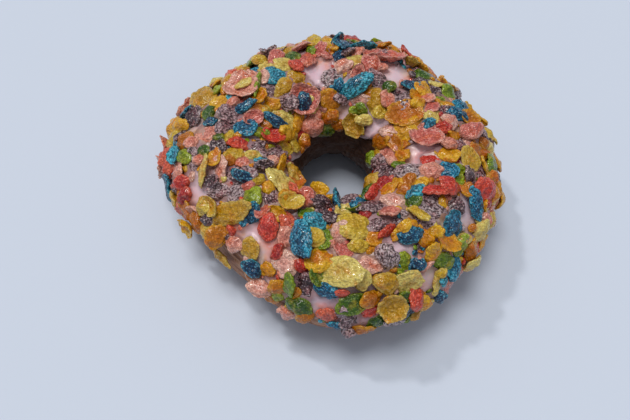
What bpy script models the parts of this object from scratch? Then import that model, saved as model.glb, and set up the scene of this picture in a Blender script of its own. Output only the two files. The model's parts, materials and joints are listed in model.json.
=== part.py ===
# A ring doughnut, iced on its upper half and covered with crisp cereal flakes, for Blender 4.5.
# Run it with: blender --background --python part.py
# Metres, +Z up. The ring lies flat on the plane z = 0 round the Z axis, and -Y is the side that the viewer faces.
# The origin is the middle of the box round the whole, at its base.
#
# A place on the ring is two angles. The clock angle goes round the hole, anticlockwise from +X as seen from above.
# The across angle goes over the tube, from 0 at the outer side over 90 at the crown to 180 at the hole.

import collections
import math
import random

import bmesh
import bpy
from mathutils import Matrix, Vector

MM = 0.001

# Where the middle of the ring stands, so that the box round the uneven whole is centred on the origin.
RING_MIDDLE = (1.8 * MM, 0.1 * MM, 0.0)

# The dough ring.
OUTER_RADIUS = 49.6 * MM
HOLE_RADIUS = 13.0 * MM
MID_HEIGHT = 14.5 * MM
CROWN_RISE = 17.5 * MM
BASE_DROP = 16.2 * MM
# Hand-shaped rings aren't round: how many swells go round, how high each is, and the clock angle of one crest.
OUTLINE_SWELLS = ((2, 1.18 * MM, -41), (3, 1.47 * MM, 50), (4, 1.43 * MM, 0))
HOLE_SWELLS = ((1, 1.6 * MM, -90), (2, 1.2 * MM, 90))

# The icing, a skin over the upper half.
ICING_GAP = 0.4 * MM
ICING_THICKNESS = 1.3 * MM
ICING_OUTER_EDGE = 4
ICING_INNER_EDGE = 160
OUTER_EDGE_WAVES = ((3, 4, 100), (7, 4, 20), (11, 2.5, 65))
INNER_EDGE_WAVES = ((4, 5, 250), (9, 2.5, 10))
# On one side the icing ends higher up and leaves the dough bare: the clock angle, the half width and the rise.
BARE_SIDE = (238, 24, 18)

# The cereal flakes. A form is its thickness, the curl of its rim (up if above 0), both in millimetres from least to
# most, how far it stands on edge in degrees, and its share among the flakes that aren't listed.
FLAKE_FORMS = {
    "flat": ((1.6, 2.4), (-0.7, 0.4), 0, 56),
    "cup": ((1.4, 1.8), (1.2, 1.9), 0, 14),
    "dome": ((1.6, 2.2), (-1.5, -0.9), 0, 14),
    "shard": ((1.5, 2.0), (-0.4, 0.4), 55, 6),
    "nugget": ((2.8, 3.6), (-0.5, 0.0), 0, 10),
}
FLAKE_SINK = 0.85 * MM
FLAKE_BOX_POWER = 0.62
FLAKE_ROUND_POWER = 0.75
FLAKE_RAGGEDNESS = 0.075
FLAKE_LEAN = 7
STACK_RISE = 2.2 * MM
STACK_TILT = 26
VIEWER = Vector((0, -0.5, 0.866))
FILL_SEED = 41
FILL_TRIES = 2600
FILL_LENGTH = (6.0 * MM, 8.8 * MM)
FILL_SPACING = 0.86
FILL_ACROSS = (6, 150)
FILL_COLOURS = (
    ("pink", 15), ("purple", 17), ("orange", 15), ("green", 10), ("yellow", 22), ("red", 9), ("blue", 12),
)
# Flakes with a smaller mean width than this keep their places free, but aren't modelled.
SMALLEST_FUSED = 5.0 * MM

FLAKE_SIDES = 7
FLAKE_RINGS = 3
RING_STEPS = 54
DOUGH_TUBE_STEPS = 20
ICING_TUBE_STEPS = 9

# The flakes that stand out, as they lie: clock and across angles, length and width in millimetres, and the heading of
# the length in degrees as the viewer sees it, 0 to the right and 90 up. Words give a tone and a form, if not the usual.
# Each colour lies on those before it.
SHOWN_FLAKES = {
    "pink": (
        (66, 70, 12, 7, 170, "deep cup"), (6, 98, 9.5, 8.5, 0, "deep cup"),
        (126, 118, 9.5, 9, 0, "deep cup"), (149, 76, 10, 9, 0, "cup"), (178, 68, 9, 7.5, 0),
        (189, 32, 8, 7, 0), (199, 72, 8.5, 5.5, 85, "light"), (109, 78, 9, 6, 90, "deep"),
        (2, 134, 6.5, 6, 0), (252, 55, 8, 7.5, 0, "light"), (311, 108, 8, 5, 0, "light"),
        (250, 130, 8, 4, 10), (283, 68, 8, 5, 0, "light"), (256, 8, 5.5, 5, 0), (229, 40, 6, 5, 0),
        (304, 46, 6, 2.5, 35, "shard"), (34, 82, 5.5, 3, 0), (72, 122, 7, 3, 15, "light"),
        (198, 136, 5, 3, 0),
    ),
    "purple": (
        (65, 98, 8.5, 5, 135), (322, 81, 11, 7, 170, "light"), (338, 110, 8, 5.5, 10, "light"),
        (296, 115, 9.5, 5.5, 25, "deep"), (265, 110, 8, 5, 0, "deep"), (95, 104, 8, 6, 0, "light"),
        (167, 82, 7, 7, 0), (206, 87, 9, 5, 0, "light"), (261, 45, 8, 5, 90, "deep"), (229, 92, 8, 4.5, 95),
        (139, 113, 6.5, 5, 0), (187, 106, 6.5, 3.5, 45), (190, 52, 5, 4.5, 0), (208, 62, 8, 4, 0, "light"),
        (203, 62, 4.5, 4, 0, "deep"), (191, 124, 6.5, 5, 0), (331, 62, 5, 5, 0, "deep"),
        (314, 76, 5.5, 4.5, 0), (276, 20, 6, 5, 0), (303, 88, 5, 4.5, 0), (34, 40, 6, 5, 0, "deep"),
        (47, 42, 8, 2.5, 0, "deep"), (49, 98, 7, 3, 0, "deep"), (352, 48, 5, 5, 0), (2, 72, 4, 4, 0),
    ),
    "orange": (
        (30, 108, 11, 9, 20, "deep cup"), (17, 115, 8, 6, 0, "light"), (22, 137, 9, 4.5, 170, "deep"),
        (179, 46, 6, 6, 0, "deep nugget"), (203, 22, 8, 4, 120, "deep"), (197, 22, 7, 3, 120, "deep"),
        (210, 15, 5, 3, 0, "deep"), (152, 62, 5.5, 3, 80), (148, 104, 6, 4, 0), (157, 98, 5, 4.5, 0),
        (12, 50, 5.5, 3.5, 0), (9, 76, 5, 4, 0), (2, 55, 5, 5, 0, "deep"), (354, 120, 5, 4, 0),
        (325, 116, 6.5, 4, 90), (306, 80, 4.5, 3.5, 0, "nugget"), (309, 66, 5, 4.5, 0, "nugget"),
        (301, 82, 7.5, 2.5, 50, "light"), (290, 140, 5, 5, 0, "light"), (289, 86, 5, 5, 0),
        (241, 26, 5.5, 4.5, 0, "deep"), (246, 40, 4, 4, 0), (252, 33, 5.5, 4.5, 0, "deep"),
        (250, 15, 5, 3.5, 0, "deep"), (91, 148, 5, 3.5, 0, "deep"), (107, 40, 6, 2.5, 0, "deep"),
        (99, 60, 6, 6, 0, "light"),
    ),
    "green": (
        (115, 148, 8, 5.5, 0, "deep"), (131, 45, 8, 5, 0), (117, 72, 6.5, 5.5, 0, "deep"),
        (277, 38, 9.5, 5, 15, "deep"), (256, 43, 7.5, 4.5, 65), (222, 80, 6, 6, 0, "light nugget"),
        (252, 104, 5, 4, 0, "nugget"), (264, 88, 7, 5, 110), (10, 155, 5, 5, 0),
        (349, 73, 6.5, 3, 0, "light"), (151, 46, 6, 4.5, 0, "light"), (303, 134, 8.5, 3, 55, "deep"),
        (297, 60, 5, 3.5, 120, "light"), (284, 15, 5, 4.5, 0, "deep"), (187, 64, 4.5, 4, 0, "deep"),
        (85, 52, 4.5, 3.5, 0, "deep"), (79, 40, 5.5, 4, 0, "light"), (32, 66, 3.5, 3.5, 0, "light"),
        (320, 37, 8, 3.5, 80, "light"), (143, 84, 10, 2.5, 90, "shard"), (295, 0, 4.5, 4, 0),
        (174, 110, 5, 3, 0, "light"),
    ),
    "yellow": (
        (159, 48, 9, 9, 0, "deep"), (147, 73, 7, 6.5, 0, "light"), (82, 87, 7.5, 7, 0, "light"),
        (22, 88, 6, 6, 0, "light"), (222, 113, 11, 6.5, 150, "light"), (280, 100, 10, 9, 0, "nugget"),
        (272, 63, 14, 8, 0, "light"), (220, 57, 15, 6, 20, "deep"), (152, 122, 9, 5.5, 150, "light"),
        (66, 143, 8, 6, 100, "deep cup"), (56, 135, 5.5, 3, 0, "light"), (296, 45, 8, 7, 0, "light"),
        (289, 30, 8, 7.5, 0, "deep cup"), (197, 60, 10.5, 3.5, 65, "light"), (236, 46, 6, 6, 0, "deep"),
        (208, 42, 5.5, 5, 0), (41, 60, 9, 4, 160, "light"), (313, 84, 8, 2.5, 140),
        (6, 35, 8, 4, 80, "light"), (281, 82, 6, 3.5, 0), (178, 133, 6, 5, 0), (168, 142, 5, 4, 0),
        (192, 88, 6, 4, 0), (194, 103, 5, 2.5, 0, "light"), (213, 93, 6.5, 3, 30),
        (121, 96, 6, 5, 0, "deep"), (117, 122, 8, 3.5, 85, "light"), (306, 25, 6.5, 2.5, 80, "light"),
        (225, 10, 8, 2.5, 140, "deep"), (47, 122, 4.5, 4, 0), (255, 150, 6.5, 5, 0, "light"),
        (324, 40, 4, 3, 0, "light"), (260, 84, 6, 5, 0),
    ),
    "red": (
        (330, 84, 7, 5, 0), (337, 76, 8, 6, 5, "dome"), (345, 45, 9, 7, 0), (343, 30, 5, 4, 0, "deep"),
        (238, 72, 7.5, 5.5, 85, "nugget"), (349, 96, 6, 5.5, 120), (21, 40, 5.5, 5, 0),
        (12, 84, 5, 4, 0, "deep"), (306, 127, 7, 3, 50, "shard"), (295, 87, 6, 2.5, 35, "deep shard"),
        (340, 150, 5.5, 3.5, 90), (148, 142, 4, 4, 0, "deep"), (282, 28, 4.5, 4.5, 0), (273, 47, 3.5, 3, 0),
        (269, 22, 5.5, 4.5, 0, "light"), (327, 15, 6, 4.5, 70), (185, 92, 6, 3.5, 5),
    ),
    "blue": (
        (80, 112, 12.5, 5.5, 22, "light dome"), (255, 78, 11, 7, 105, "nugget"), (322, 57, 9.5, 6, 105),
        (338, 47, 10.5, 4.5, 110), (21, 64, 7.5, 5, 165, "nugget"), (92, 80, 7, 4.5, 85, "deep"),
        (131, 86, 7, 6.5, 0, "light"), (174, 97, 7, 6, 0), (161, 90, 8, 3, 20, "deep"),
        (161, 118, 9.5, 3, 145, "deep"), (128, 120, 6, 4.5, 100, "deep nugget"),
        (46, 84, 7.5, 4, 150, "deep"), (268, 46, 6.5, 5, 0), (303, 75, 7, 4.5, 15, "deep"),
        (345, 82, 6.5, 6, 0), (325, 98, 7.5, 4, 45, "light"), (241, 36, 6, 4, 145, "deep"),
        (301, 53, 5, 3, 0, "deep"), (294, 18, 8, 5, 30, "deep"), (272, 12, 5, 3, 0),
        (199, 108, 4.5, 2.5, 0, "light"), (210, 85, 7, 3, 160, "deep"),
    ),
}

# The glaze shows bare in these spots: clock and across angles, and the clear width in millimetres.
BARE_SPOTS = (
    (105, 97, 5), (354, 108, 5), (237, 57, 6), (175, 55, 4), (203, 48, 5), (333, 53, 4), (58, 82, 4), (45, 128, 4),
    (298, 70, 4), (303, 38, 4), (267, 33, 4), (85, 140, 4),
)

DOUGH_COLOUR = (0.42, 0.20, 0.08, 1.0)
ICING_COLOUR = (0.80, 0.62, 0.72, 1.0)

Flake = collections.namedtuple(
    "Flake", "colour tone clock across length width thickness curl turn lean roll seed rise slope slope_turn"
)


def swell(waves, clock):
    """The sum of a list of waves round the ring at a clock angle in radians."""
    return sum(height * math.cos(count * (clock - math.radians(crest))) for count, height, crest in waves)


def tube(clock):
    """The tube's centre-line radius and its half width at a clock angle."""
    outer = OUTER_RADIUS + swell(OUTLINE_SWELLS, clock)
    inner = HOLE_RADIUS + swell(HOLE_SWELLS, clock)
    return (outer + inner) / 2, (outer - inner) / 2


def ring_point(clock, across):
    """A point of the dough's surface. The tube is flattened where it rests on the plane z = 0."""
    middle, half_width = tube(clock)
    radius = middle + half_width * math.cos(across)
    rise = CROWN_RISE if math.sin(across) > 0 else BASE_DROP
    height = max(0.0, MID_HEIGHT + rise * math.sin(across))
    return Vector((radius * math.cos(clock), radius * math.sin(clock), height))


def ring_frame(clock, across):
    """The surface point with its unit directions round the ring, over the tube and outwards."""
    step = 1e-4
    around = (ring_point(clock + step, across) - ring_point(clock - step, across)).normalized()
    over = (ring_point(clock, across + step) - ring_point(clock, across - step)).normalized()
    return ring_point(clock, across), around, over, around.cross(over).normalized()


def height_over_dough(point):
    """How far a point stands off the dough's surface, which is exact enough within a few millimetres of it."""
    clock = math.atan2(point.y, point.x)
    middle, half_width = tube(clock)
    rise = CROWN_RISE if point.z > MID_HEIGHT else BASE_DROP
    out = (math.hypot(point.x, point.y) - middle) / half_width
    across = math.atan2((point.z - MID_HEIGHT) / rise, out)
    surface, _, _, normal = ring_frame(clock, across)
    return (point - surface).dot(normal)


def sphere_directions(sides, rings):
    """Directions from the top to the bottom of a globe, as its vertices lie."""
    yield Vector((0, 0, 1))
    for ring in range(1, rings):
        polar = math.pi * ring / rings
        for side in range(sides):
            turn = math.tau * side / sides
            yield Vector((math.sin(polar) * math.cos(turn), math.sin(polar) * math.sin(turn), math.cos(polar)))
    yield Vector((0, 0, -1))


def flake_point(flake, direction):
    """Where a direction from the middle of a flake meets its skin, in the flake's own axes."""
    draw = random.Random(flake.seed)
    turn = math.atan2(direction.y, direction.x)
    ragged = 1.0
    for count in (2, 3, 4, 5):
        ragged += FLAKE_RAGGEDNESS * draw.uniform(0.4, 1.0) * math.cos(count * turn + draw.uniform(0, math.tau))
    reach = math.hypot(direction.x, direction.y) ** FLAKE_ROUND_POWER * ragged
    x = flake.length / 2 * reach * math.cos(turn)
    y = flake.width / 2 * reach * math.sin(turn)
    body = math.copysign(abs(direction.z) ** FLAKE_BOX_POWER, direction.z) * flake.thickness / 2
    return Vector((x, y, body + flake.curl * reach * reach))


def seated(flake):
    """The matrix that lays a flake on the icing, its deepest point sunk a little into it and never through it."""
    base, around, over, normal = ring_frame(math.radians(flake.clock), math.radians(flake.across))
    turned = Matrix((around, over, normal)).transposed()
    hinge = Vector((math.cos(flake.slope_turn), math.sin(flake.slope_turn), 0))
    turned = turned @ Matrix.Rotation(flake.slope, 3, hinge) @ Matrix.Rotation(math.radians(flake.turn), 3, "Z")
    turned = turned @ Matrix.Rotation(math.radians(flake.lean), 3, "Y") @ Matrix.Rotation(math.radians(flake.roll), 3, "X")
    centre = base + normal * (ICING_GAP + ICING_THICKNESS)
    for _ in range(3):
        depth = min(
            height_over_dough(centre + turned @ flake_point(flake, direction))
            for direction in sphere_directions(FLAKE_SIDES, FLAKE_RINGS)
        )
        centre += normal * (ICING_GAP + ICING_THICKNESS - FLAKE_SINK + flake.rise - depth)
    return Matrix.Translation(centre) @ turned.to_4x4()


def turn_seen(heading, clock, across):
    """How far a flake turns on the surface for its length to take a heading in the viewer's eye."""
    _, around, over, normal = ring_frame(math.radians(clock), math.radians(across))
    angle = math.radians(heading)
    seen = Vector((math.cos(angle), 0, 0)) + math.sin(angle) * Vector((0, VIEWER.z, -VIEWER.y))
    along = seen - VIEWER * (seen.dot(normal) / max(VIEWER.dot(normal), 0.35))
    return math.degrees(math.atan2(along.dot(over), along.dot(around)))


def crowding(base, size, laid):
    """How deep a flake of that size would lie into the one it meets most, from 0 to 1, and where that one lies."""
    deepest, where = 0.0, base
    for other, reach in laid:
        depth = 1 - (base - other).length / ((size + reach) / 2)
        if depth > deepest:
            deepest, where = depth, other
    return deepest, where


def laid_flake(draw, colour, words, clock, across, length, width, turn, laid):
    """A flake with its thickness, tilt and curl drawn at random, raised and sloped where it lies on another."""
    base, around, over, _ = ring_frame(math.radians(clock), math.radians(across))
    size = (length + width) / 2
    depth, where = crowding(base, size, laid)
    uphill = where - base
    form = next((word for word in words if word in FLAKE_FORMS), "flat")
    thickness, curl, edge, _ = FLAKE_FORMS[form]
    flake = Flake(
        colour, next((word for word in words if word in ("light", "deep")), "usual"), clock, across, length, width,
        draw.uniform(*thickness) * MM, draw.uniform(*curl) * MM * min(1.0, size / (7 * MM)), turn,
        draw.gauss(0, FLAKE_LEAN), draw.gauss(0, FLAKE_LEAN) + edge, draw.randrange(1 << 30), STACK_RISE * depth,
        math.radians(STACK_TILT) * math.sin(math.pi * min(depth, 1)),
        math.atan2(-uphill.dot(around), uphill.dot(over)) if depth else 0.0,
    )
    laid.append((base, size))
    return flake


def laid_flakes():
    """Every flake: those that stand out first, then smaller ones wherever there is still room."""
    draw = random.Random(FILL_SEED)
    flakes, laid = [], []
    for colour, rows in SHOWN_FLAKES.items():
        for clock, across, length, width, heading, *words in rows:
            turn = turn_seen(heading, clock, across)
            words = words[0].split() if words else ()
            flakes.append(laid_flake(draw, colour, words, clock, across, length * MM, width * MM, turn, laid))
    laid += [(ring_point(math.radians(clock), math.radians(across)), width * MM) for clock, across, width in BARE_SPOTS]
    colours, colour_shares = zip(*FILL_COLOURS)
    form_shares = [form[-1] for form in FLAKE_FORMS.values()]
    for attempt in range(FILL_TRIES):
        length = FILL_LENGTH[1] + (FILL_LENGTH[0] - FILL_LENGTH[1]) * attempt / FILL_TRIES
        width = length * draw.uniform(0.6, 0.95)
        clock, across, turn = draw.uniform(0, 360), draw.uniform(*FILL_ACROSS), draw.uniform(0, 180)
        colour, form = draw.choices(colours, colour_shares)[0], draw.choices(list(FLAKE_FORMS), form_shares)[0]
        words = (form, draw.choice(("light", "usual", "deep")))
        base = ring_point(math.radians(clock), math.radians(across))
        if crowding(base, (length + width) / 2, laid)[0] < 1 - FILL_SPACING:
            flakes.append(laid_flake(draw, colour, words, clock, across, length, width, turn, laid))
    return flakes


def clear_scene():
    for old in list(bpy.data.objects):
        bpy.data.objects.remove(old)


def collection_named(name):
    made = bpy.data.collections.new(name)
    bpy.context.scene.collection.children.link(made)
    return made


def move_to(piece, collection):
    for old in list(piece.users_collection):
        old.objects.unlink(piece)
    collection.objects.link(piece)


def material_named(name, colour, roughness):
    made = bpy.data.materials.new(name)
    made.use_nodes = True
    shader = made.node_tree.nodes["Principled BSDF"]
    shader.inputs["Base Color"].default_value = colour
    shader.inputs["Roughness"].default_value = roughness
    shader.inputs["Metallic"].default_value = 0.0
    return made


def ring_blank(name, tube_steps):
    """A torus primitive whose vertices still have to be laid on the ring, with their two angles."""
    bpy.ops.mesh.primitive_torus_add(
        major_segments=RING_STEPS, minor_segments=tube_steps, major_radius=2.0, minor_radius=1.0
    )
    blank = bpy.context.active_object
    blank.name = name
    angles = []
    for vertex in blank.data.vertices:
        x, y, z = vertex.co
        angles.append((math.atan2(y, x), math.atan2(z, math.hypot(x, y) - 2.0)))
    return blank, angles


def make_dough(collection):
    dough, angles = ring_blank("dough", DOUGH_TUBE_STEPS)
    for vertex, (clock, across) in zip(dough.data.vertices, angles):
        vertex.co = ring_point(clock, across)
    dough.data.materials.append(material_named("fried_dough", DOUGH_COLOUR, 0.55))
    dough.data.shade_smooth()
    dough.location = RING_MIDDLE
    move_to(dough, collection)
    return dough


def icing_edges(clock):
    """The across angles where the icing ends, outside and in the hole."""
    middle, half_width, rise = BARE_SIDE
    away = (math.degrees(clock) - middle + 180) % 360 - 180
    bare = rise * math.exp(-((away / half_width) ** 2))
    outside = math.radians(ICING_OUTER_EDGE + swell(OUTER_EDGE_WAVES, clock) + bare)
    inside = math.radians(ICING_INNER_EDGE + swell(INNER_EDGE_WAVES, clock))
    return outside, inside


def make_icing(collection):
    """The upper half of a torus, stretched between the icing's wavy edges just clear of the dough, and thickened."""
    icing, angles = ring_blank("icing", 2 * ICING_TUBE_STEPS)
    for vertex, (clock, across) in zip(icing.data.vertices, angles):
        outside, inside = icing_edges(clock)
        share = across / math.pi
        point, _, _, normal = ring_frame(clock, outside + (inside - outside) * share)
        vertex.co = point + normal * ICING_GAP if share > -1e-6 else Vector((0, 0, -1))
    shell = bmesh.new()
    shell.from_mesh(icing.data)
    under = [vertex for vertex in shell.verts if vertex.co.z < -0.5]
    bmesh.ops.delete(shell, geom=under, context="VERTS")
    shell.to_mesh(icing.data)
    shell.free()
    thicken = icing.modifiers.new("thickness", "SOLIDIFY")
    thicken.thickness = ICING_THICKNESS
    thicken.offset = 1.0
    icing.data.materials.append(material_named("lilac_icing", ICING_COLOUR, 0.3))
    move_to(icing, collection)
    return icing


def make_flake(flake, number, collection):
    """One flake as a flat globe with few sides, drawn out to its form and laid in its place."""
    bpy.ops.mesh.primitive_uv_sphere_add(segments=FLAKE_SIDES, ring_count=FLAKE_RINGS, radius=1.0)
    piece = bpy.context.active_object
    piece.name = f"flake_{number}"
    place = seated(flake)
    for vertex in piece.data.vertices:
        vertex.co = place @ flake_point(flake, vertex.co.normalized())
    move_to(piece, collection)
    return piece


def apply_modifiers(piece):
    graph = bpy.context.evaluated_depsgraph_get()
    made = bpy.data.meshes.new_from_object(piece.evaluated_get(graph))
    piece.modifiers.clear()
    piece.data = made


def keep_largest_shell(piece):
    """Drops the walls of sealed hollows, which fills them, and any scrap that touches nothing."""
    mesh = bmesh.new()
    mesh.from_mesh(piece.data)
    left, shells = set(mesh.faces), []
    while left:
        front = [left.pop()]
        shell = list(front)
        while front:
            face = front.pop()
            near = {other for edge in face.edges for other in edge.link_faces if other in left}
            left -= near
            front.extend(near)
            shell.extend(near)
        shells.append(shell)
    shells.sort(key=len)
    dropped = [face for shell in shells[:-1] for face in shell]
    bmesh.ops.delete(mesh, geom=dropped, context="FACES")
    mesh.to_mesh(piece.data)
    mesh.free()


def fuse(piece, collection):
    """Joins every object of the collection to the piece, and removes them. EXACT leaves slivers among so many."""
    join = piece.modifiers.new("fused", "BOOLEAN")
    join.operation = "UNION"
    join.operand_type = "COLLECTION"
    join.collection = collection
    join.solver = "MANIFOLD"
    apply_modifiers(piece)
    for part in list(collection.objects):
        bpy.data.objects.remove(part)
    bpy.data.collections.remove(collection)
    keep_largest_shell(piece)


def main():
    clear_scene()
    doughnut = collection_named("frosted_doughnut")
    toppings = collection_named("toppings")
    make_dough(doughnut)
    icing = make_icing(doughnut)
    for number, flake in enumerate(laid_flakes()):
        if (flake.length + flake.width) / 2 >= SMALLEST_FUSED:
            make_flake(flake, number, toppings)
    fuse(icing, toppings)
    icing.location = RING_MIDDLE
    icing.data.shade_smooth()
    icing.data.set_sharp_from_angle(angle=math.radians(35))


main()
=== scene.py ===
"""The looks of a ring doughnut: fried dough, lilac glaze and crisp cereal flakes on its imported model.

A place on the ring is two angles. The clock angle goes round the hole, anticlockwise from +X as seen from
above. The across angle goes over the tube, from 0 at the outer side over 90 at the crown to 180 at the hole.
"""

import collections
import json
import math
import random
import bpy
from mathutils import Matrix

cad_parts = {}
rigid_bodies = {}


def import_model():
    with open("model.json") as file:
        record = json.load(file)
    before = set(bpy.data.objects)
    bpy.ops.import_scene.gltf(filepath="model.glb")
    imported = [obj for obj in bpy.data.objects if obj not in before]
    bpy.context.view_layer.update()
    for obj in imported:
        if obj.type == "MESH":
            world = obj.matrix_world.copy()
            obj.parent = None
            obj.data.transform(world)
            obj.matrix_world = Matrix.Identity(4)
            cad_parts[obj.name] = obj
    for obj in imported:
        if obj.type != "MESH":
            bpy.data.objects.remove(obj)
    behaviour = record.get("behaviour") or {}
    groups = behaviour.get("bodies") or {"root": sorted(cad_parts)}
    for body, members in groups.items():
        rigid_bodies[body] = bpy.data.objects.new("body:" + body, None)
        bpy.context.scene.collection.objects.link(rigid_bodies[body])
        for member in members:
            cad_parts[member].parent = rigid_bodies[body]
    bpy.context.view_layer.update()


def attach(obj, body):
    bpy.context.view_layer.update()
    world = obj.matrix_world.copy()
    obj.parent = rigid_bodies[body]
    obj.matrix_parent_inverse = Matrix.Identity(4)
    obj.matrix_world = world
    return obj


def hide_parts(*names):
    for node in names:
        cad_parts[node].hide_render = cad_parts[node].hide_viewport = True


bl_info = {
    "name": "Cereal Doughnut",
    "version": (1, 0, 0),
    "blender": (4, 5, 0),
    "location": "View3D > Sidebar > Doughnut",
    "description": "Fries, glazes and tops a ring doughnut with crisp cereal flakes",
    "category": "Add Mesh",
}

import bpy
import numpy as np
from mathutils import Matrix, Vector, noise
from mathutils.bvhtree import BVHTree

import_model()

MM = 0.001

# Where the middle of the ring stands, and the dough ring round it.
RING_MIDDLE = Vector((1.8, 0.1, 0.0)) * MM
OUTER_RADIUS = 49.6 * MM
HOLE_RADIUS = 13.0 * MM
MID_HEIGHT = 14.5 * MM
CROWN_RISE = 17.5 * MM
BASE_DROP = 16.2 * MM
# Mean radii of the ring's centre line and of the tube, for patterns that run along them.
RING_RUN = 31 * MM
TUBE_RUN = 17 * MM
# How many swells go round, how high each is, and the clock angle of one crest.
OUTLINE_SWELLS = ((2, 1.18 * MM, -41), (3, 1.47 * MM, 50), (4, 1.43 * MM, 0))
HOLE_SWELLS = ((1, 1.6 * MM, -90), (2, 1.2 * MM, 90))

# The glaze, a skin over the upper half.
GLAZE_GAP = 0.4 * MM
GLAZE_THICKNESS = 1.3 * MM
GLAZE_TOP = GLAZE_GAP + GLAZE_THICKNESS
GLAZE_OUTER_EDGE = 4
GLAZE_INNER_EDGE = 151
OUTER_EDGE_WAVES = ((3, 4, 100), (7, 4, 20), (11, 2.5, 65))
INNER_EDGE_WAVES = ((4, 5, 250), (9, 2.5, 10))
# On one side the glaze ends higher up and bares the dough: the clock angle, the half width and the rise.
BARE_SIDE = (238, 1.2 * 24, 1.6 * 18)
# The crust's bulges and folds are noise: features per metre and offset, for folds after their height and how
# far they stretch along the ring. They fade out over an angle under the glaze, and below a height.
CRUST_BULGES = (60.0, 4.0)
CRUST_FOLDS = ((1.0, 6.0, 330.0), (0.6, 3.0, 800.0, 9.0))
STREAK_STRETCH = 7.0
COVER_FADE = 0.15
CRUST_CLEAR_HEIGHT = 4 * MM
# Thin glaze smears the crust so far from the glaze's edge, down to a height. In the hole the crust is baked
# dark and has painted shade, where it faces inwards.
SMEAR_REACH = math.radians(16)
SMEAR_FLOOR = 1 * MM
BAKED_SHADED_FROM, BAKED_SHADED_FADE, BAKED_SHADED_MOST = 0.1, 0.5, 0.85
# How much of the gap is left under the glaze's lip, how wide the lip's round is, and how far over the tube
# the glaze reaches.
LIP_GAP_SHARE = 0.3
LIP_WIDTH = 1.4 * GLAZE_THICKNESS
GLAZE_GIRTH = 55 * MM
# Its lumps are noise too.
GLAZE_LUMPS = ((210.0, 0.0), (90.0, 5.0))

# The cereal flakes. A form is its thickness, the curl of its rim (up if above 0), both in millimetres from
# least to most, how far it stands on edge in degrees, and its share among the flakes that aren't listed.
FLAKE_FORMS = {
    "flat": ((1.6, 2.4), (-0.7, 0.4), 0, 56),
    "cup": ((1.4, 1.8), (1.2, 1.9), 0, 14),
    "dome": ((1.6, 2.2), (-1.5, -0.9), 0, 14),
    "shard": ((1.5, 2.0), (-0.4, 0.4), 55, 6),
    "nugget": ((2.8, 3.6), (-0.5, 0.0), 0, 10),
}
FLAKE_SINK = 0.85 * MM
FLAKE_BOX_POWER = 0.62
FLAKE_ROUND_POWER = 0.75
FLAKE_RAGGEDNESS = 0.075
FLAKE_LEAN = 7
FLAKE_SIDES = 7
FLAKE_RINGS = 3
STACK_RISE = 2.2 * MM
STACK_TILT = 26
# The way to the viewer, and the least share of it that a heading is still read by.
VIEWER = Vector((0, -0.5, 0.866))
LEAST_FACING = 0.35
FILL_SEED = 41
FILL_TRIES = 2600
FILL_LENGTH = (6.0 * MM, 8.8 * MM)
FILL_WIDTH_SHARE = (0.6, 0.95)
FILL_SPACING = 0.86
FILL_ACROSS = (6, 150)
FILL_COLOURS = (
    ("pink", 15), ("purple", 17), ("orange", 15), ("green", 10), ("yellow", 22), ("red", 9), ("blue", 12),
)
# A flake narrower than this curls less.
FULL_CURL_SIZE = 7 * MM
# Smaller flakes and crumbs fill what room is left, and climb less on what lies below them.
SMALL_SEED = 7
SMALL_TRIES = 11000
SMALL_LENGTH = (3.4 * MM, 7.6 * MM)
SMALL_SPACING = 0.67
SMALL_CLIMB = 0.3
SMALL_COLOURS = (
    ("pink", 17), ("purple", 17), ("orange", 30), ("green", 8), ("yellow", 13), ("red", 8), ("blue", 5),
)
CRUMB_SEED = 12
CRUMB_TRIES = 5200
CRUMB_LENGTH = (1.3 * MM, 3.0 * MM)
CRUMB_SPACING = 0.63
CRUMB_RISE = 0.7 * MM
CRUMB_CLIMB = 0.2
CRUMB_LEAN_MORE = 2
CRUMB_THICKNESS_SHARE = 0.75
# The scene shows flakes that are so much larger, more tilted, more curled and higher than the solids' plain
# ones. The lift has so many levels, and a rim that curls up lifts its flake by a share of the curl.
SPREAD = 0.9 * MM
LEAN_MORE = 1.5
CURL_MORE = 1.3
LIFT = 0.9 * MM
LIFT_LEVELS = 97
CURL_LIFT = 0.6
# For small flakes the bare spots count as wider. Flakes of a rule may overhang the glaze's outer edge by so
# many degrees, and end as far short of its inner one.
BARE_SPOT_WIDENING = 2.0
EDGE_OVERHANG = 5
# A flake is a finer globe the larger it is: its globe's subdivisions, and the sizes under which it drops one.
GLOBE_STEPS = (2, 3, 4, 5)
COARSER_BELOW = (8.6 * MM, 4.6 * MM, 3.2 * MM)
# How far the glaze climbs, is darkened with painted shade and is stained beside a flake, and how far off
# flakes are looked for.
CLING_REACH = 0.9 * MM
CLOSE_SHADE_REACH = 0.8 * MM
STAIN_REACH = 1.8 * MM
SEARCH_REACH = 2.5 * STAIN_REACH
# How high up a flake the glaze coat and the painted shade at its foot reach.
FOOT_HEIGHT = 1.1 * MM

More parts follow.
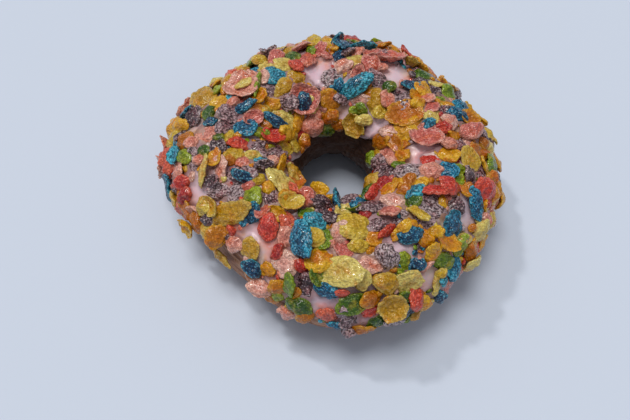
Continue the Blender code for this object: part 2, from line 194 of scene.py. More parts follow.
# The flakes that stand out, as they lie: clock and across angles, length and width in millimetres, and the
# heading of the length in degrees as the viewer sees it, 0 to the right and 90 up. Words give a tone and a
# form, if not the usual. Each colour lies on those before it.
SHOWN_FLAKES = {
    "pink": (
        (66, 70, 12, 7, 170, "deep cup"), (6, 98, 9.5, 8.5, 0, "deep cup"),
        (126, 118, 9.5, 9, 0, "deep cup"), (149, 76, 10, 9, 0, "cup"), (178, 68, 9, 7.5, 0),
        (189, 32, 8, 7, 0), (199, 72, 8.5, 5.5, 85, "light"), (109, 78, 9, 6, 90, "deep"),
        (2, 134, 6.5, 6, 0), (252, 55, 8, 7.5, 0, "light"), (311, 108, 8, 5, 0, "light"),
        (250, 130, 8, 4, 10), (283, 68, 8, 5, 0, "light"), (256, 8, 5.5, 5, 0), (229, 40, 6, 5, 0),
        (304, 46, 6, 2.5, 35, "shard"), (34, 82, 5.5, 3, 0), (72, 122, 7, 3, 15, "light"),
        (198, 136, 5, 3, 0),
    ),
    "purple": (
        (65, 98, 8.5, 5, 135), (322, 81, 11, 7, 170, "light"), (338, 110, 8, 5.5, 10, "light"),
        (296, 115, 9.5, 5.5, 25, "deep"), (265, 110, 8, 5, 0, "deep"), (95, 104, 8, 6, 0, "light"),
        (167, 82, 7, 7, 0), (206, 87, 9, 5, 0, "light"), (261, 45, 8, 5, 90, "deep"), (229, 92, 8, 4.5, 95),
        (139, 113, 6.5, 5, 0), (187, 106, 6.5, 3.5, 45), (190, 52, 5, 4.5, 0), (208, 62, 8, 4, 0, "light"),
        (203, 62, 4.5, 4, 0, "deep"), (191, 124, 6.5, 5, 0), (331, 62, 5, 5, 0, "deep"),
        (314, 76, 5.5, 4.5, 0), (276, 20, 6, 5, 0), (303, 88, 5, 4.5, 0), (34, 40, 6, 5, 0, "deep"),
        (47, 42, 8, 2.5, 0, "deep"), (49, 98, 7, 3, 0, "deep"), (352, 48, 5, 5, 0), (2, 72, 4, 4, 0),
    ),
    "orange": (
        (30, 108, 11, 9, 20, "deep cup"), (17, 115, 8, 6, 0, "light"), (22, 137, 9, 4.5, 170, "deep"),
        (179, 46, 6, 6, 0, "deep nugget"), (203, 22, 8, 4, 120, "deep"), (197, 22, 7, 3, 120, "deep"),
        (210, 15, 5, 3, 0, "deep"), (152, 62, 5.5, 3, 80), (148, 104, 6, 4, 0), (157, 98, 5, 4.5, 0),
        (12, 50, 5.5, 3.5, 0), (9, 76, 5, 4, 0), (2, 55, 5, 5, 0, "deep"), (354, 120, 5, 4, 0),
        (325, 116, 6.5, 4, 90), (306, 80, 4.5, 3.5, 0, "nugget"), (309, 66, 5, 4.5, 0, "nugget"),
        (301, 82, 7.5, 2.5, 50, "light"), (290, 140, 5, 5, 0, "light"), (289, 86, 5, 5, 0),
        (241, 26, 5.5, 4.5, 0, "deep"), (246, 40, 4, 4, 0), (252, 33, 5.5, 4.5, 0, "deep"),
        (250, 15, 5, 3.5, 0, "deep"), (91, 148, 5, 3.5, 0, "deep"), (107, 40, 6, 2.5, 0, "deep"),
        (99, 60, 6, 6, 0, "light"),
    ),
    "green": (
        (115, 148, 8, 5.5, 0, "deep"), (131, 45, 8, 5, 0), (117, 72, 6.5, 5.5, 0, "deep"),
        (277, 38, 9.5, 5, 15, "deep"), (256, 43, 7.5, 4.5, 65), (222, 80, 6, 6, 0, "light nugget"),
        (252, 104, 5, 4, 0, "nugget"), (264, 88, 7, 5, 110), (10, 155, 5, 5, 0),
        (349, 73, 6.5, 3, 0, "light"), (151, 46, 6, 4.5, 0, "light"), (303, 134, 8.5, 3, 55, "deep"),
        (297, 60, 5, 3.5, 120, "light"), (284, 15, 5, 4.5, 0, "deep"), (187, 64, 4.5, 4, 0, "deep"),
        (85, 52, 4.5, 3.5, 0, "deep"), (79, 40, 5.5, 4, 0, "light"), (32, 66, 3.5, 3.5, 0, "light"),
        (320, 37, 8, 3.5, 80, "light"), (143, 84, 10, 2.5, 90, "shard"), (295, 0, 4.5, 4, 0),
        (174, 110, 5, 3, 0, "light"),
    ),
    "yellow": (
        (159, 48, 9, 9, 0, "deep"), (147, 73, 7, 6.5, 0, "light"), (82, 87, 7.5, 7, 0, "light"),
        (22, 88, 6, 6, 0, "light"), (222, 113, 11, 6.5, 150, "light"), (280, 100, 10, 9, 0, "nugget"),
        (272, 63, 14, 8, 0, "light"), (220, 57, 15, 6, 20, "deep"), (152, 122, 9, 5.5, 150, "light"),
        (66, 143, 8, 6, 100, "deep cup"), (56, 135, 5.5, 3, 0, "light"), (296, 45, 8, 7, 0, "light"),
        (289, 30, 8, 7.5, 0, "deep cup"), (197, 60, 10.5, 3.5, 65, "light"), (236, 46, 6, 6, 0, "deep"),
        (208, 42, 5.5, 5, 0), (41, 60, 9, 4, 160, "light"), (313, 84, 8, 2.5, 140),
        (6, 35, 8, 4, 80, "light"), (281, 82, 6, 3.5, 0), (178, 133, 6, 5, 0), (168, 142, 5, 4, 0),
        (192, 88, 6, 4, 0), (194, 103, 5, 2.5, 0, "light"), (213, 93, 6.5, 3, 30),
        (121, 96, 6, 5, 0, "deep"), (117, 122, 8, 3.5, 85, "light"), (306, 25, 6.5, 2.5, 80, "light"),
        (225, 10, 8, 2.5, 140, "deep"), (47, 122, 4.5, 4, 0), (255, 150, 6.5, 5, 0, "light"),
        (324, 40, 4, 3, 0, "light"), (260, 84, 6, 5, 0),
    ),
    "red": (
        (330, 84, 7, 5, 0), (337, 76, 8, 6, 5, "dome"), (345, 45, 9, 7, 0), (343, 30, 5, 4, 0, "deep"),
        (238, 72, 7.5, 5.5, 85, "nugget"), (349, 96, 6, 5.5, 120), (21, 40, 5.5, 5, 0),
        (12, 84, 5, 4, 0, "deep"), (306, 127, 7, 3, 50, "shard"), (295, 87, 6, 2.5, 35, "deep shard"),
        (340, 150, 5.5, 3.5, 90), (148, 142, 4, 4, 0, "deep"), (282, 28, 4.5, 4.5, 0), (273, 47, 3.5, 3, 0),
        (269, 22, 5.5, 4.5, 0, "light"), (327, 15, 6, 4.5, 70), (185, 92, 6, 3.5, 5),
    ),
    "blue": (
        (80, 112, 12.5, 5.5, 22, "light dome"), (255, 78, 11, 7, 105, "nugget"), (322, 57, 9.5, 6, 105),
        (338, 47, 10.5, 4.5, 110), (21, 64, 7.5, 5, 165, "nugget"), (92, 80, 7, 4.5, 85, "deep"),
        (131, 86, 7, 6.5, 0, "light"), (174, 97, 7, 6, 0), (161, 90, 8, 3, 20, "deep"),
        (161, 118, 9.5, 3, 145, "deep"), (128, 120, 6, 4.5, 100, "deep nugget"),
        (46, 84, 7.5, 4, 150, "deep"), (268, 46, 6.5, 5, 0), (303, 75, 7, 4.5, 15, "deep"),
        (345, 82, 6.5, 6, 0), (325, 98, 7.5, 4, 45, "light"), (241, 36, 6, 4, 145, "deep"),
        (301, 53, 5, 3, 0, "deep"), (294, 18, 8, 5, 30, "deep"), (272, 12, 5, 3, 0),
        (199, 108, 4.5, 2.5, 0, "light"), (210, 85, 7, 3, 160, "deep"),
    ),
}

# The glaze shows bare in these spots: clock and across angles, and the clear width in millimetres.
BARE_SPOTS = (
    (105, 97, 7), (354, 108, 7), (237, 57, 8), (175, 55, 5), (203, 48, 6), (333, 53, 6), (58, 82, 6),
    (45, 128, 6), (298, 70, 5), (303, 38, 5), (267, 33, 5), (85, 140, 5),
)

# Linear colours of each kind of cereal: deep, usual and light, and the stain of its neighbours' dyes.
CEREAL_TONES = {
    "pink": ((0.66, 0.15, 0.12), (0.83, 0.33, 0.24), (0.88, 0.53, 0.43), (0.74, 0.13, 0.03)),
    "purple": ((0.10, 0.050, 0.065), (0.41, 0.235, 0.26), (0.58, 0.44, 0.47), (0.40, 0.14, 0.15)),
    "orange": ((0.50, 0.14, 0.001), (0.73, 0.31, 0.002), (0.82, 0.46, 0.015), (0.66, 0.13, 0.002)),
    "green": ((0.030, 0.10, 0.003), (0.17, 0.29, 0.005), (0.35, 0.43, 0.012), (0.36, 0.28, 0.005)),
    "yellow": ((0.54, 0.28, 0.006), (0.70, 0.47, 0.030), (0.80, 0.65, 0.18), (0.66, 0.25, 0.005)),
    "red": ((0.42, 0.014, 0.016), (0.74, 0.055, 0.036), (0.80, 0.16, 0.08), (0.72, 0.06, 0.010)),
    "blue": ((0.002, 0.048, 0.14), (0.006, 0.235, 0.43), (0.06, 0.52, 0.68), (0.006, 0.06, 0.16)),
}
# How strongly the grains of each kind stand out, in their bump and in their painted shade and highlight.
GRAININESS = {
    "pink": 0.5, "purple": 1.0, "orange": 0.32, "green": 0.5, "yellow": 0.36, "red": 0.5, "blue": 0.85,
}
# How much of each dye bleeds into the glaze.
BLEEDING = {"pink": 1.2, "purple": 0.3, "orange": 0.5, "green": 0.2, "yellow": 0.3, "red": 1.6, "blue": 0.2}
# The level of each tone, and how far single flakes stray from it in all.
TONE_LEVEL = {"deep": -1.0, "usual": 0.0, "light": 1.0}
TONE_JITTER = 0.9
# How far apart the patterns of two flakes with neighbouring seeds are.
SEED_STEP = 0.137
# Linear colours: of sugar, and what the glaze beside a flake and a flake's foot are multiplied by for painted
# shade.
SUGAR_COLOUR = (0.90, 0.85, 0.74)
GLAZE_SHADE = (0.28, 0.16, 0.15)
FOOT_SHADE = (0.28, 0.18, 0.16)
# The inputs of the flakes' tree, each with the setting that it comes from.
FLAKE_INPUTS = {
    "Waviness": "waviness",
    "Blister Height": "blister_height",
    "Blister Width": "blister_width",
    "Edge Raggedness": "edge_raggedness",
    "Rim Thinness": "rim_thinness",
}

# The stage: its floor, the ways to its two lights, and its camera, placed from the middle of the ring.
FLOOR_SIZE = 6.0
KEY_WAY = (-0.14, 0.07, 0.985)
GLINT_WAY = (-0.45, 0.33, 0.83)
GLINT_WIDTH = math.radians(5)
LIGHT_COLOUR = (1.0, 0.97, 0.92)
SKY_COLOUR = (0.90, 0.95, 1.0, 1.0)
SENSOR_WIDTH_MM = 36.0
FOCAL_LENGTH_MM = 42.34
CAMERA_PLACE = Vector((-6.2, -133.8, 220.3)) * MM
CAMERA_TILT = math.radians(30.39)
CAMERA_ROLL = math.radians(3.03)

Flake = collections.namedtuple(
    "Flake", "colour tone clock across length width thickness curl turn lean roll seed rise slope slope_turn"
)


def swell(waves, clock):
    """The sum of a list of waves round the ring at a clock angle in radians."""
    return sum(height * np.cos(count * (clock - math.radians(crest))) for count, height, crest in waves)


def tube(clock):
    """The tube's centre-line radius and its half width at a clock angle."""
    outer = OUTER_RADIUS + swell(OUTLINE_SWELLS, clock)
    inner = HOLE_RADIUS + swell(HOLE_SWELLS, clock)
    return (outer + inner) / 2, (outer - inner) / 2


def ring_points(clock, across):
    """Points of the dough's surface round the ring's own middle, for arrays of angles in radians."""
    middle, half_width = tube(clock)
    radius = middle + half_width * np.cos(across)
    rise = np.where(np.sin(across) > 0, CROWN_RISE, BASE_DROP)
    height = np.maximum(0.0, MID_HEIGHT + rise * np.sin(across))
    return np.stack([radius * np.cos(clock), radius * np.sin(clock), height], axis=-1)


def unit(vectors):
    return vectors / np.linalg.norm(vectors, axis=-1, keepdims=True)


def ring_frames(clock, across):
    """The surface points with their unit directions round the ring, over the tube and outwards."""
    step = 1e-4
    around = unit(ring_points(clock + step, across) - ring_points(clock - step, across))
    over = unit(ring_points(clock, across + step) - ring_points(clock, across - step))
    return ring_points(clock, across), around, over, unit(np.cross(around, over))


def ring_angles(points):
    """The clock and across angles under points that lie near the surface."""
    clock = np.arctan2(points[..., 1], points[..., 0])
    middle, half_width = tube(clock)
    rise = np.where(points[..., 2] > MID_HEIGHT, CROWN_RISE, BASE_DROP)
    out = (np.hypot(points[..., 0], points[..., 1]) - middle) / half_width
    return clock, np.arctan2((points[..., 2] - MID_HEIGHT) / rise, out)


def height_over_dough(points):
    """How far points stand off the dough's surface, which is exact enough within a few millimetres of it."""
    surface, _, _, normal = ring_frames(*ring_angles(points))
    return np.sum((points - surface) * normal, axis=-1)


def frame_vectors(clock, across):
    """The same four vectors at one place, with its angles in degrees."""
    return [Vector(part) for part in ring_frames(math.radians(clock), math.radians(across))]


def glaze_edges(clock):
    """The across angles where the glaze ends, outside and in the hole."""
    middle, half_width, rise = BARE_SIDE
    away = (np.degrees(clock) - middle + 180) % 360 - 180
    bare = rise * np.exp(-((away / half_width) ** 2))
    outside = np.radians(GLAZE_OUTER_EDGE + swell(OUTER_EDGE_WAVES, clock) + bare)
    inside = np.radians(GLAZE_INNER_EDGE + swell(INNER_EDGE_WAVES, clock))
    return outside, inside


def sphere_directions(sides, rings):
    """Directions from the top to the bottom of a globe."""
    found = [(0, 0, 1)]
    for ring in range(1, rings):
        polar = math.pi * ring / rings
        out = math.sin(polar)
        for side in range(sides):
            turn = math.tau * side / sides
            found.append((out * math.cos(turn), out * math.sin(turn), math.cos(polar)))
    return np.array(found + [(0, 0, -1)])


GLOBE = sphere_directions(FLAKE_SIDES, FLAKE_RINGS)


def flake_outline(flake):
    """A few points of a flake's skin, in its own axes."""
    draw = random.Random(flake.seed)
    turn = np.arctan2(GLOBE[:, 1], GLOBE[:, 0])
    ragged = np.ones(len(GLOBE))
    for count in (2, 3, 4, 5):
        ragged += FLAKE_RAGGEDNESS * draw.uniform(0.4, 1.0) * np.cos(count * turn + draw.uniform(0, math.tau))
    reach = np.hypot(GLOBE[:, 0], GLOBE[:, 1]) ** FLAKE_ROUND_POWER * ragged
    body = np.sign(GLOBE[:, 2]) * np.abs(GLOBE[:, 2]) ** FLAKE_BOX_POWER * flake.thickness / 2
    return np.stack([
        flake.length / 2 * reach * np.cos(turn),
        flake.width / 2 * reach * np.sin(turn),
        body + flake.curl * reach * reach,
    ], axis=-1)


def seated(flake):
    """The centre and the turned axes of a flake whose deepest point is sunk a little into the glaze."""
    base, around, over, normal = frame_vectors(flake.clock, flake.across)
    turned = Matrix((around, over, normal)).transposed()
    hinge = Vector((math.cos(flake.slope_turn), math.sin(flake.slope_turn), 0))
    turned = turned @ Matrix.Rotation(flake.slope, 3, hinge)
    for angle, axis in ((flake.turn, "Z"), (flake.lean, "Y"), (flake.roll, "X")):
        turned = turned @ Matrix.Rotation(math.radians(angle), 3, axis)
    centre = base + normal * GLAZE_TOP
    skin = flake_outline(flake) @ np.array(turned).T
    for _ in range(3):
        depth = height_over_dough(np.array(centre) + skin).min()
        centre += normal * (GLAZE_TOP - FLAKE_SINK + flake.rise - float(depth))
    return centre, turned


def turn_seen(heading, clock, across):
    """How far a flake turns on the surface for its length to take a heading in the viewer's eye."""
    _, around, over, normal = frame_vectors(clock, across)
    angle = math.radians(heading)
    seen = Vector((math.cos(angle), 0, 0)) + math.sin(angle) * Vector((0, VIEWER.z, -VIEWER.y))
    along = seen - VIEWER * (seen.dot(normal) / max(VIEWER.dot(normal), LEAST_FACING))
    return math.degrees(math.atan2(along.dot(over), along.dot(around)))


def crowding(base, size, laid):
    """How deep a flake of that size would lie in the one it meets most, from 0 to 1, and that one's place."""
    deepest, where = 0.0, base
    for other, reach in laid:
        depth = 1 - (base - other).length / ((size + reach) / 2)
        if depth > deepest:
            deepest, where = depth, other
    return deepest, where


def laid_flake(draw, colour, words, clock, across, length, width, turn, laid):
    """A flake with its thickness, tilt and curl drawn at random, raised and sloped if it lies on another."""
    base, around, over, _ = frame_vectors(clock, across)
    size = (length + width) / 2
    depth, where = crowding(base, size, laid)
    uphill = where - base
    form = next((word for word in words if word in FLAKE_FORMS), "flat")
    tone = next((word for word in words if word in ("light", "deep")), "usual")
    thickness, curl, edge, _ = FLAKE_FORMS[form]
    flake = Flake(
        colour, tone, clock, across, length, width,
        draw.uniform(*thickness) * MM, draw.uniform(*curl) * MM * min(1.0, size / FULL_CURL_SIZE), turn,
        draw.gauss(0, FLAKE_LEAN), draw.gauss(0, FLAKE_LEAN) + edge, draw.randrange(1 << 30),
        STACK_RISE * depth,
        math.radians(STACK_TILT) * math.sin(math.pi * min(depth, 1)),
        math.atan2(-uphill.dot(around), uphill.dot(over)) if depth else 0.0,
    )
    laid.append((base, size))
    return flake


def filled(draw, tries, lengths, spacing, shares, laid):
    """Flakes scattered by a rule, the largest first, wherever there is still room."""
    flakes = []
    colours, colour_shares = zip(*shares)
    form_shares = [form[-1] for form in FLAKE_FORMS.values()]
    for attempt in range(tries):
        length = lengths[1] + (lengths[0] - lengths[1]) * attempt / tries
        width = length * draw.uniform(*FILL_WIDTH_SHARE)
        clock, across, turn = draw.uniform(0, 360), draw.uniform(*FILL_ACROSS), draw.uniform(0, 180)
        colour = draw.choices(colours, colour_shares)[0]
        form = draw.choices(list(FLAKE_FORMS), form_shares)[0]
        words = (form, draw.choice(("light", "usual", "deep")))
        base = frame_vectors(clock, across)[0]
        if crowding(base, (length + width) / 2, laid)[0] < 1 - spacing:
            flakes.append(laid_flake(draw, colour, words, clock, across, length, width, turn, laid))
    return flakes


def bare_spots(widening):
    """The spots that stay bare, as if round flakes lay there already."""
    return [(frame_vectors(clock, across)[0], widening * width * MM) for clock, across, width in BARE_SPOTS]


def enlarged(flake):
    """A flake as the scene shows it, from the plain one that the solids' rule gives."""
    uneven = flake.seed % LIFT_LEVELS / LIFT_LEVELS * LIFT
    return flake._replace(
        length=flake.length + SPREAD,
        width=flake.width + SPREAD,
        lean=LEAN_MORE * flake.lean,
        curl=CURL_MORE * flake.curl,
        rise=flake.rise + uneven + max(0.0, CURL_LIFT * flake.curl),
    )


def crumbled(flake):
    """A crumb: a flake that is flat, nearly as thick as it is wide, and tipped any way."""
    return flake._replace(
        thickness=CRUMB_THICKNESS_SHARE * flake.width,
        lean=CRUMB_LEAN_MORE * flake.lean,
        curl=0.0,
        rise=CRUMB_RISE + CRUMB_CLIMB * flake.rise,
    )


def on_glaze(flake):
    """Whether a flake lies on the glaze or clings just below its outer edge, clear of its inner one."""
    outside, inside = glaze_edges(math.radians(flake.clock))
    overhang = math.radians(EDGE_OVERHANG)
    return outside - overhang < math.radians(flake.across) < inside - overhang


def laid_flakes():
    """Every flake: those that stand out, those of the solids' own rule, then smaller ones, and crumbs."""
    draw = random.Random(FILL_SEED)
    flakes, laid = [], []
    for colour, rows in SHOWN_FLAKES.items():
        for clock, across, length, width, heading, *words in rows:
            turn = turn_seen(heading, clock, across)
            words = words[0].split() if words else ()
            flakes.append(laid_flake(draw, colour, words, clock, across, length * MM, width * MM, turn, laid))
    shown = len(flakes)
    laid += bare_spots(1.0)
    flakes += filled(draw, FILL_TRIES, FILL_LENGTH, FILL_SPACING, FILL_COLOURS, laid)
    laid += bare_spots(BARE_SPOT_WIDENING)
    small = filled(random.Random(SMALL_SEED), SMALL_TRIES, SMALL_LENGTH, SMALL_SPACING, SMALL_COLOURS, laid)
    flakes += [flake._replace(rise=SMALL_CLIMB * flake.rise) for flake in small]
    crumbs = filled(random.Random(CRUMB_SEED), CRUMB_TRIES, CRUMB_LENGTH, CRUMB_SPACING, SMALL_COLOURS, laid)
    flakes = [enlarged(flake) for flake in flakes] + [crumbled(crumb) for crumb in crumbs]
    return flakes[:shown] + [flake for flake in flakes[shown:] if on_glaze(flake)]


class Graph:
    """A node tree in the making. add() wires a node's open inputs in order and gives its first output."""

    def __init__(self, tree):
        self.tree = tree
        tree.nodes.clear()

    def put(self, socket, value):
        if isinstance(value, bpy.types.NodeSocket):
            self.tree.links.new(value, socket)
        elif value is not None:
            socket.default_value = value

    def fill(self, made, inputs):
        """Gives each input that is named its value or link."""
        for name, value in inputs.items():
            self.put(made.inputs[name], value)

    def node(self, kind, inputs=None, **settings):
        made = self.tree.nodes.new(kind)
        for name, value in settings.items():
            setattr(made, name, value)
        self.fill(made, inputs or {})
        return made

    def add(self, kind, *values, **settings):
        made = self.node(kind, **settings)
        for socket, value in zip([s for s in made.inputs if s.enabled], values):
            self.put(socket, value)
        return [s for s in made.outputs if s.enabled][0]

    def math(self, operation, *values, **settings):
        return self.add("ShaderNodeMath", *values, operation=operation, **settings)

    def plus(self, first, second):
        return self.math("ADD", first, second)

    def minus(self, first, second):
        return self.math("SUBTRACT", first, second)

    def times(self, product, *others):
        for other in others:
            product = self.math("MULTIPLY", product, other)
        return product

    def vector(self, operation, *values):
        return self.add("ShaderNodeVectorMath", *values, operation=operation)

    def combine(self, *parts):
        return self.add("ShaderNodeCombineXYZ", *parts)

    def parts(self, vector):
        return self.node("ShaderNodeSeparateXYZ", {"Vector": vector}).outputs

    def noise(self, place, scale, detail=2.0, seed=None):
        """Noise from 0 to 1 with so many features per metre."""
        inputs = {"Vector": place, "Scale": scale, "Detail": detail, "Roughness": 0.55}
        if seed is None:
            return self.node("ShaderNodeTexNoise", inputs).outputs["Fac"]
        return self.node("ShaderNodeTexNoise", {**inputs, "W": seed}, noise_dimensions="4D").outputs["Fac"]

    def cells(self, place, scale, smoothness):
        """How far each place lies from the middle of its cell, in cells."""
        inputs = {"Vector": place, "Scale": scale, "Smoothness": smoothness}
        return self.node("ShaderNodeTexVoronoi", inputs, feature="SMOOTH_F1").outputs["Distance"]

    def span(self, value, low, high, to_low=0.0, to_high=1.0):
        """A value taken smoothly from one range to another."""
        inputs = {"Value": value, "From Min": low, "From Max": high, "To Min": to_low, "To Max": to_high}
        return self.node("ShaderNodeMapRange", inputs, interpolation_type="SMOOTHSTEP").outputs["Result"]

    def blend(self, factor, first, second, kind="MIX"):
        """Two colours mixed by a factor."""
        given = [c if isinstance(c, bpy.types.NodeSocket) else (*c, 1.0) for c in (first, second)]
        return self.add("ShaderNodeMix", factor, *given, data_type="RGBA", blend_type=kind, clamp_factor=True)

    def ramp(self, value, *stops):
        """Colours at given values, blended in between."""
        made = self.node("ShaderNodeValToRGB", {"Fac": value})
        ramp = made.color_ramp
        while len(ramp.elements) < len(stops):
            ramp.elements.new(0.5)
        for element, (place, colour) in zip(ramp.elements, stops):
            element.position = place
            element.color = (*colour, 1.0)
        return made.outputs["Color"]

    def bump(self, height, distance):
        """The normal of a surface with a relief."""
        return self.node("ShaderNodeBump", {"Height": height, "Distance": distance}).outputs["Normal"]

    def attribute(self, name, part="Fac"):
        """A mesh's named attribute in a shader."""
        return self.node("ShaderNodeAttribute", attribute_name=name).outputs[part]

    def named(self, name, kind):
        """A mesh's named attribute in a geometry tree."""
        made = self.node("GeometryNodeInputNamedAttribute", {"Name": name}, data_type=kind)
        return next(s for s in made.outputs if s.enabled and s.name == "Attribute")

    def stored(self, geometry, name, kind, value):
        """A geometry that keeps a value as a named attribute of its points."""
        inputs = {"Geometry": geometry, "Name": name, "Value": value}
        return self.node("GeometryNodeStoreNamedAttribute", inputs, data_type=kind).outputs["Geometry"]


def shader_graph(name):
    """A new material, its graph, its Principled shader and the place of each point in metres."""
    material = bpy.data.materials.new(name)
    material.use_nodes = True
    graph = Graph(material.node_tree)
    shader = graph.node("ShaderNodeBsdfPrincipled")
    graph.node("ShaderNodeOutputMaterial", {"Surface": shader.outputs["BSDF"]})
    place = graph.node("ShaderNodeTexCoord").outputs["Object"]
    return material, graph, shader, place


def new_piece(name, mesh, material=None):
    """A finished piece of the doughnut, with its place in its mesh."""
    piece = bpy.data.objects.new(name, mesh)
    bpy.context.scene.collection.objects.link(piece)
    if material is not None:
        mesh.materials.append(material)
    mesh.shade_smooth()
    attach(piece, "root")
    return piece


def store(mesh, name, values, kind="FLOAT"):
    """Writes one attribute to every point of a mesh."""
    field = {"FLOAT_VECTOR": "vector", "FLOAT_COLOR": "color"}.get(kind, "value")
    attribute = mesh.attributes.new(name, kind, "POINT")
    attribute.data.foreach_set(field, np.ascontiguousarray(values, np.float32).ravel())


def closed_mesh(name, points):
    """A mesh of a grid of points round the ring's own middle. The grid is closed both ways."""
    rows, columns = points.shape[:2]
    faces = []
    for row in range(rows):
        following = (row + 1) % rows
        for column in range(columns):
            beside = (column + 1) % columns
            corners = ((row, column), (row, beside), (following, beside), (following, column))
            faces.append([line * columns + place for line, place in corners])
    mesh = bpy.data.meshes.new(name)
    mesh.from_pydata((points + np.array(RING_MIDDLE)).reshape(-1, 3).tolist(), [], faces)
    mesh.flip_normals()
    return mesh


def noise_at(points, scale, offset=0.0):
    """Smooth noise from about -1 to 1 at each point, with so many features per metre."""
    shift = Vector((offset, offset * 0.7, -offset))
    values = [noise.noise(Vector(point) * scale + shift) for point in points.reshape(-1, 3)]
    return np.array(values).reshape(points.shape[:-1])


def stretched(clock, across, stretch):
    """A place for patterns that run along the ring: the way across counts in full, the way round divided."""
    run = RING_RUN / stretch
    return np.stack([run * np.cos(clock), run * np.sin(clock), TUBE_RUN * (across + math.pi / 2)], axis=-1)


def dough_material(settings):
    """Fried crust: streaked along the ring, baked dark and with painted shade in the hole, with thin smears
    of glaze.
    """
    material, graph, shader, place = shader_graph("fried_crust")
    streak = graph.noise(graph.attribute("along", "Vector"), 900.0)
    fine = graph.noise(place, 1600.0, 3.0)
    broad = graph.noise(place, 130.0)
    mixed = graph.plus(graph.times(streak, 0.55), graph.times(broad, 0.45))
    stops = (0.37, settings.crust_dark), (0.50, settings.crust), (0.64, settings.crust_pale)
    crust = graph.ramp(mixed, *stops)
    crust = graph.blend(graph.span(fine, 0.45, 0.8, 0.0, 0.35), crust, settings.crust_dark)
    # Darker crust in the hole: partly baked, partly painted shade.
    crust = graph.blend(graph.attribute("baked_and_shaded"), crust, settings.crust_baked_and_shaded)
    patchy = graph.plus(graph.attribute("smear"), graph.times(graph.minus(streak, 0.5), 1.6))
    coated = graph.span(patchy, 0.55, 0.85, 0.0, 0.75)
    graph.fill(shader, {
        "Base Color": graph.blend(coated, crust, settings.smear),
        "Roughness": graph.span(coated, 0.0, 1.0, 0.62, 0.35),
        "Subsurface Weight": 0.08,
        "Subsurface Radius": (2.0 * MM, 1.0 * MM, 0.6 * MM),
        "Subsurface Scale": 1.0,
        "Normal": graph.bump(graph.plus(streak, graph.times(fine, 0.5)), 0.8 * MM),
    })
    return material


def glaze_material(settings):
    """Opaque lilac sugar glaze with a wet gloss, stained by the flakes' dyes, with painted shade right beside
    them.
    """
    material, graph, shader, place = shader_graph("lilac_glaze")
    cloud = graph.noise(place, 160.0)
    fine = graph.noise(place, 700.0)
    colour = graph.blend(graph.span(cloud, 0.35, 0.65), settings.glaze_deep, settings.glaze)
    runny = graph.span(graph.noise(place, 95.0, 1.0), 0.42, 0.62, 0.15, 1.0)
    bled = graph.times(graph.attribute("stain", "Alpha"), runny, graph.span(fine, 0.3, 0.6, 0.5, 0.9))
    colour = graph.blend(bled, colour, graph.attribute("stain", "Color"))
    # Painted shade in the glaze beside the flakes.
    close_shade = graph.times(graph.attribute("close_shade"), 0.8)
    colour = graph.blend(close_shade, colour, graph.blend(1.0, colour, GLAZE_SHADE, "MULTIPLY"))
    graph.fill(shader, {
        "Base Color": colour,
        "Roughness": 0.32,
        "Subsurface Weight": 0.25,
        "Subsurface Radius": (1.5 * MM, 0.9 * MM, 0.9 * MM),
        "Subsurface Scale": 1.0,
        "Coat Weight": 0.3,
        "Coat Roughness": 0.16,
        "Normal": graph.bump(fine, 0.08 * MM),
    })
    return material


